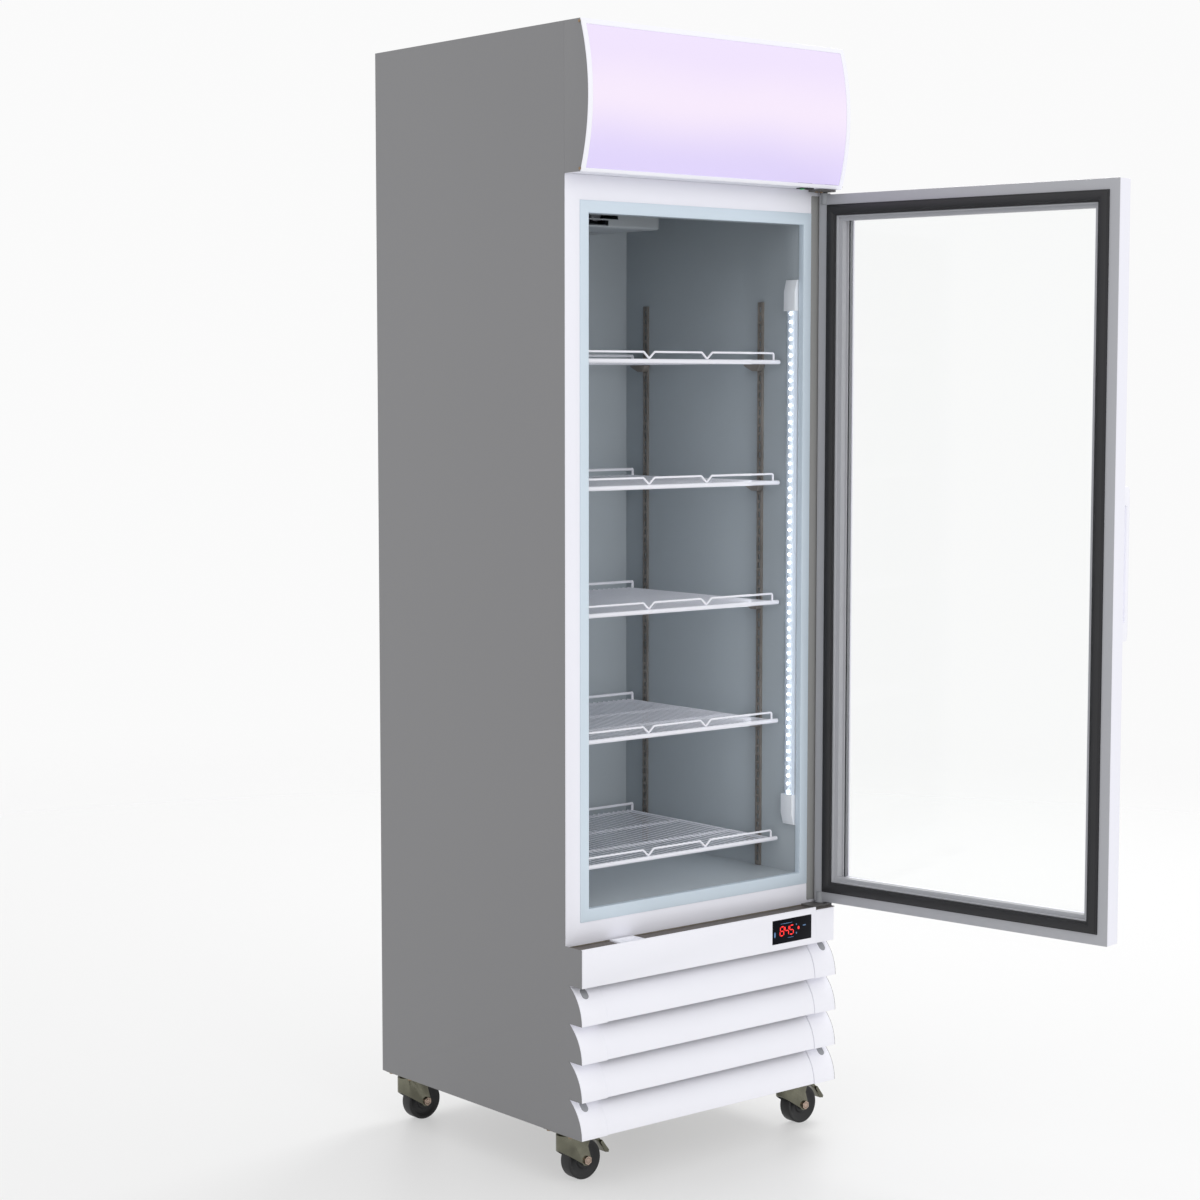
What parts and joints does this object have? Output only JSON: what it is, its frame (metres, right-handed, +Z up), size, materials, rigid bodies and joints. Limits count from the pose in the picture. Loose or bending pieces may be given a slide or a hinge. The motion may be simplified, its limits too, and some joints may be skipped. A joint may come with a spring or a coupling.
{
  "type": "glass door merchandiser",
  "caption": "Upright display refrigerator with a hinged glass door, wire shelves, lit header sign, louvered grille and casters.",
  "frame": {"origin": "centre of the cabinet's footprint, on the floor", "axes": "+Z up; +X to the right of a person facing the door opening; the front faces -Y"},
  "size_m": [0.7805, 1.1715, 2.014],
  "materials": {
    "grey_sheet": "satin",
    "galvanised_sheet": "satin",
    "liner_sheet": "satin",
    "foam": "matte",
    "white_sheet": "satin",
    "white_plastic": "satin",
    "pale_plastic": "satin",
    "dark_plastic": "matte",
    "grey_plastic": "matte",
    "dark_sheet": "satin",
    "bay_sheet": "satin",
    "fins": "satin",
    "black_steel": "satin",
    "copper": "satin",
    "steel": "satin",
    "dark_steel": "satin",
    "lamp_white": "satin",
    "clear_plastic": "gloss",
    "lens": "satin",
    "display_black": "gloss",
    "green_button": "gloss",
    "door_white": "satin",
    "door_grey": "satin",
    "gasket_rubber": "matte",
    "glass": "gloss",
    "coated_wire": "gloss",
    "zinc": "satin",
    "wheel_rubber": "satin"
  },
  "bodies": {
    "cabinet": {"side_panels": "grey_sheet", "top_and_rear_panels": "galvanised_sheet", "cord_gland": "dark_plastic", "inner_liner": "liner_sheet", "insulation_foam": "foam", "front_frame": "white_sheet", "breaker_frame": "pale_plastic", "hinge_post_cover": "dark_sheet", "evaporator_cover": "white_plastic", "evaporator_coil": "fins", "fan_motors": "dark_sheet", "shelf_pilasters": "dark_steel", "shelf_clips": "dark_steel", "led_channel": "lamp_white", "led_cover": "clear_plastic", "machine_bay_decks": "bay_sheet", "compressor": "black_steel", "condenser_coil": "fins", "drip_tray": "grey_plastic", "refrigerant_pipes": "copper", "grille_end_caps": "white_plastic", "grille_louvers": "white_plastic", "grille_screw_plugs": "grey_plastic", "control_fascia": "white_plastic", "controller_display": "display_black", "door_strike": "white_plastic", "lightbox_case": "white_sheet", "lightbox_cheeks": "grey_sheet", "lightbox_trim": "white_plastic", "lightbox_lens": "lens", "lightbox_lamps": "lamp_white", "switch_housing": "dark_plastic", "hinge_brackets": "dark_sheet", "fasteners": "steel", "caster_plates": "zinc"},
    "door": {"door_frame": "door_white", "door_inner_frame": "door_grey", "door_gasket": "gasket_rubber", "door_glass_panes": "glass", "door_glass_spacer": "grey_plastic", "door_handle": "white_plastic", "door_hinge_bushes": "grey_plastic"},
    "shelf_1": {"shelf_1": "coated_wire"},
    "shelf_2": {"shelf_2": "coated_wire"},
    "shelf_3": {"shelf_3": "coated_wire"},
    "shelf_4": {"shelf_4": "coated_wire"},
    "shelf_5": {"shelf_5": "coated_wire"},
    "switch_rocker": {"rocker_switch": "green_button"},
    "cold_fan": {"evaporator_fan": "grey_plastic"},
    "warm_fan": {"condenser_fan": "grey_plastic"},
    "fork_front_left": {"caster_fork_front_left": "zinc"},
    "fork_front_right": {"caster_fork_front_right": "zinc"},
    "fork_rear_left": {"caster_fork_rear_left": "zinc"},
    "fork_rear_right": {"caster_fork_rear_right": "zinc"},
    "wheel_front_left": {"caster_wheel_front_left": "wheel_rubber"},
    "wheel_front_right": {"caster_wheel_front_right": "wheel_rubber"},
    "wheel_rear_left": {"caster_wheel_rear_left": "wheel_rubber"},
    "wheel_rear_right": {"caster_wheel_rear_right": "wheel_rubber"},
    "pedal_front_left": {"brake_pedal_front_left": "zinc"},
    "pedal_front_right": {"brake_pedal_front_right": "zinc"}
  },
  "joints": [
    {"name": "door_hinge", "type": "hinge", "parent": "cabinet", "child": "door", "pos_m": [0.298, -0.269, 1.1], "axis": [0, 0, 1], "range_deg": [-100, 0]},
    {"name": "shelf_1_lift", "type": "slide", "parent": "cabinet", "child": "shelf_1", "axis": [0, 0, 1], "range_m": [0, 0.03]},
    {"name": "shelf_2_lift", "type": "slide", "parent": "cabinet", "child": "shelf_2", "axis": [0, 0, 1], "range_m": [0, 0.03]},
    {"name": "shelf_3_lift", "type": "slide", "parent": "cabinet", "child": "shelf_3", "axis": [0, 0, 1], "range_m": [0, 0.03]},
    {"name": "shelf_4_lift", "type": "slide", "parent": "cabinet", "child": "shelf_4", "axis": [0, 0, 1], "range_m": [0, 0.03]},
    {"name": "shelf_5_lift", "type": "slide", "parent": "cabinet", "child": "shelf_5", "axis": [0, 0, 1], "range_m": [0, 0.03]},
    {"name": "switch_rock", "type": "hinge", "parent": "cabinet", "child": "switch_rocker", "pos_m": [0.234, -0.281, 1.763], "axis": [0, 1, 0], "range_deg": [0, 16]},
    {"name": "cold_fan_spin", "type": "hinge", "parent": "cabinet", "child": "cold_fan", "pos_m": [0, 0.062, 1.798], "axis": [0, 1, 0], "continuous": true},
    {"name": "warm_fan_spin", "type": "hinge", "parent": "cabinet", "child": "warm_fan", "pos_m": [-0.09, -0.165, 0.255], "axis": [0, 1, 0], "continuous": true},
    {"name": "front_left_swivel", "type": "hinge", "parent": "cabinet", "child": "fork_front_left", "pos_m": [-0.2688, -0.222, 0.08], "axis": [0, 0, 1], "continuous": true},
    {"name": "front_right_swivel", "type": "hinge", "parent": "cabinet", "child": "fork_front_right", "pos_m": [0.2688, -0.222, 0.08], "axis": [0, 0, 1], "continuous": true},
    {"name": "rear_left_swivel", "type": "hinge", "parent": "cabinet", "child": "fork_rear_left", "pos_m": [-0.2688, 0.26, 0.08], "axis": [0, 0, 1], "continuous": true},
    {"name": "rear_right_swivel", "type": "hinge", "parent": "cabinet", "child": "fork_rear_right", "pos_m": [0.2688, 0.26, 0.08], "axis": [0, 0, 1], "continuous": true},
    {"name": "front_left_roll", "type": "hinge", "parent": "fork_front_left", "child": "wheel_front_left", "pos_m": [-0.2484, -0.222, 0.036], "axis": [0, 1, 0], "continuous": true},
    {"name": "front_right_roll", "type": "hinge", "parent": "fork_front_right", "child": "wheel_front_right", "pos_m": [0.2892, -0.222, 0.036], "axis": [0, 1, 0], "continuous": true},
    {"name": "rear_left_roll", "type": "hinge", "parent": "fork_rear_left", "child": "wheel_rear_left", "pos_m": [-0.2484, 0.26, 0.036], "axis": [0, 1, 0], "continuous": true},
    {"name": "rear_right_roll", "type": "hinge", "parent": "fork_rear_right", "child": "wheel_rear_right", "pos_m": [0.2892, 0.26, 0.036], "axis": [0, 1, 0], "continuous": true},
    {"name": "front_left_brake", "type": "hinge", "parent": "fork_front_left", "child": "pedal_front_left", "pos_m": [-0.2438, -0.222, 0.0773], "axis": [0, 1, 0], "range_deg": [-10, 0]},
    {"name": "front_right_brake", "type": "hinge", "parent": "fork_front_right", "child": "pedal_front_right", "pos_m": [0.2938, -0.222, 0.0773], "axis": [0, 1, 0], "range_deg": [-10, 0]}
  ]
}
